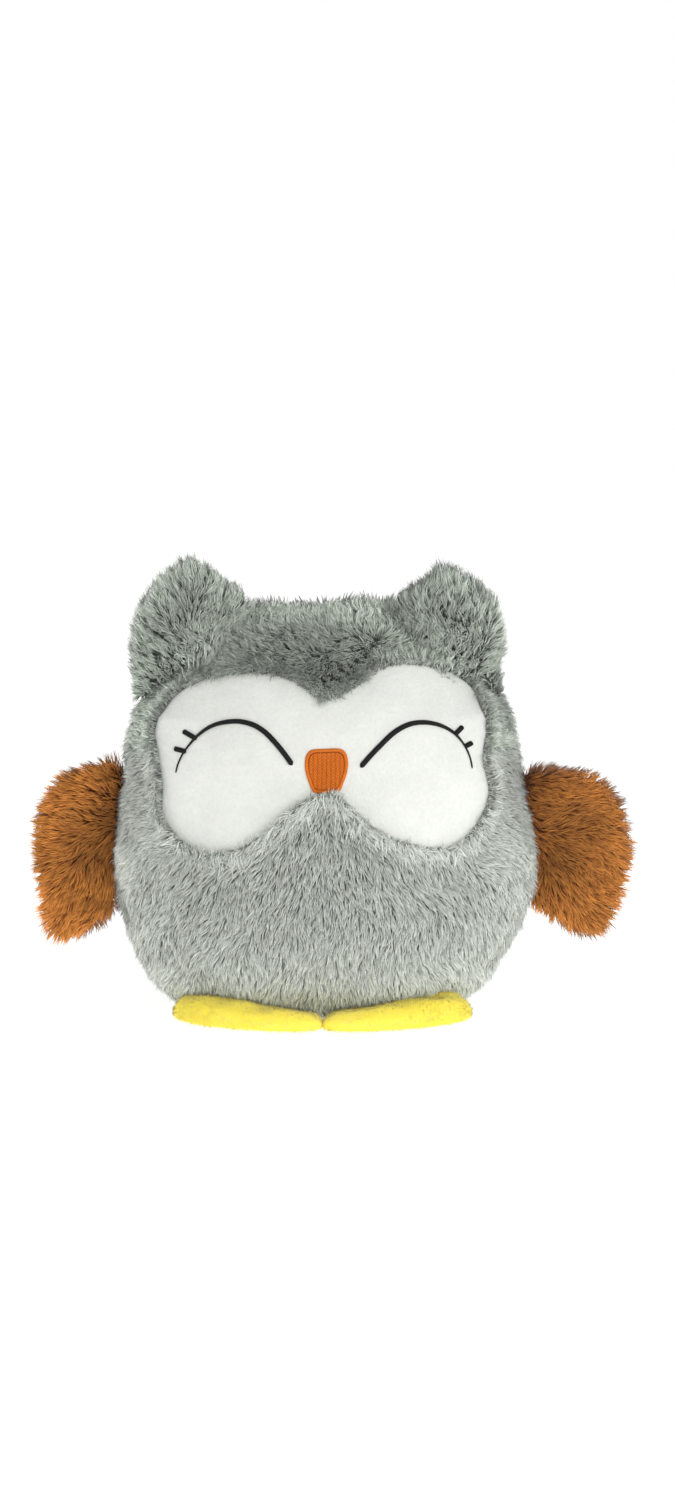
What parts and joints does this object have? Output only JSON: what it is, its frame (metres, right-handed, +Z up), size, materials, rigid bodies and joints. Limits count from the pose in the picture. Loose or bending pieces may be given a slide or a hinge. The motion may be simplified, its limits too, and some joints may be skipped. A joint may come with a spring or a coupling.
{
  "type": "plush owl",
  "caption": "Seated stuffed owl with a squat body, flat base, pointed ear tufts, side wings, short feet and an embroidered sleeping face.",
  "frame": {"origin": "middle of the base panel's underside, on the floor", "axes": "+X towards the owl's own left, +Y towards its back, +Z up; it faces -Y"},
  "size_m": [0.3018, 0.1254, 0.2175],
  "materials": {
    "grey_fur": "dull long-pile plush",
    "brown_fur": "dull long-pile plush",
    "white_velour": "dull short-pile velour",
    "yellow_velour": "dull short-pile velour",
    "orange_thread": "satin-stitched thread",
    "black_thread": "satin-stitched thread",
    "polyester_filling": "loose fibre"
  },
  "bodies": {
    "body": {"back_panel_left": "grey_fur", "back_panel_right": "grey_fur", "base_panel": "grey_fur", "beak_border": "orange_thread", "beak_fill": "orange_thread", "chest_panel": "grey_fur", "face_patch": "white_velour", "forehead_panel": "grey_fur", "left_eye_line": "black_thread", "left_lower_lash": "black_thread", "left_upper_lash": "black_thread", "right_eye_line": "black_thread", "right_lower_lash": "black_thread", "right_upper_lash": "black_thread", "stuffing_core": "polyester_filling"},
    "left_wing": {"left_wing_back": "brown_fur", "left_wing_filling": "polyester_filling", "left_wing_front": "brown_fur"},
    "right_wing": {"right_wing_back": "brown_fur", "right_wing_filling": "polyester_filling", "right_wing_front": "brown_fur"},
    "left_ear": {"left_ear_back": "grey_fur", "left_ear_filling": "polyester_filling", "left_ear_front": "grey_fur"},
    "right_ear": {"right_ear_back": "grey_fur", "right_ear_filling": "polyester_filling", "right_ear_front": "grey_fur"},
    "left_foot": {"left_foot_filling": "polyester_filling", "left_foot_sole": "yellow_velour", "left_foot_top": "yellow_velour"},
    "right_foot": {"right_foot_filling": "polyester_filling", "right_foot_sole": "yellow_velour", "right_foot_top": "yellow_velour"}
  },
  "joints": [
    {"name": "left_wing_fold", "type": "hinge", "parent": "body", "child": "left_wing", "pos_m": [0.1078, 0, 0.08844], "axis": [0, 0, -1], "range_deg": [-45, 45], "stiffness_Nm_per_rad": 0.02},
    {"name": "left_ear_bend", "type": "hinge", "parent": "body", "child": "left_ear", "pos_m": [0.06413, 0, 0.17809], "axis": [0.7578, 0, -0.6525], "range_deg": [-25, 25], "stiffness_Nm_per_rad": 0.05},
    {"name": "left_foot_lift", "type": "hinge", "parent": "body", "child": "left_foot", "pos_m": [0.03433, -0.04175, 0.0035], "axis": [-0.9709, -0.2393, 0], "range_deg": [0, 20]},
    {"name": "right_wing_fold", "type": "hinge", "parent": "body", "child": "right_wing", "pos_m": [-0.1078, 0, 0.08844], "axis": [0, 0, 1], "range_deg": [-45, 45], "stiffness_Nm_per_rad": 0.02},
    {"name": "right_ear_bend", "type": "hinge", "parent": "body", "child": "right_ear", "pos_m": [-0.06413, 0, 0.17809], "axis": [0.7578, 0, 0.6525], "range_deg": [-25, 25], "stiffness_Nm_per_rad": 0.05},
    {"name": "right_foot_lift", "type": "hinge", "parent": "body", "child": "right_foot", "pos_m": [-0.03433, -0.04175, 0.0035], "axis": [-0.9709, 0.2393, 0], "range_deg": [0, 20]}
  ]
}
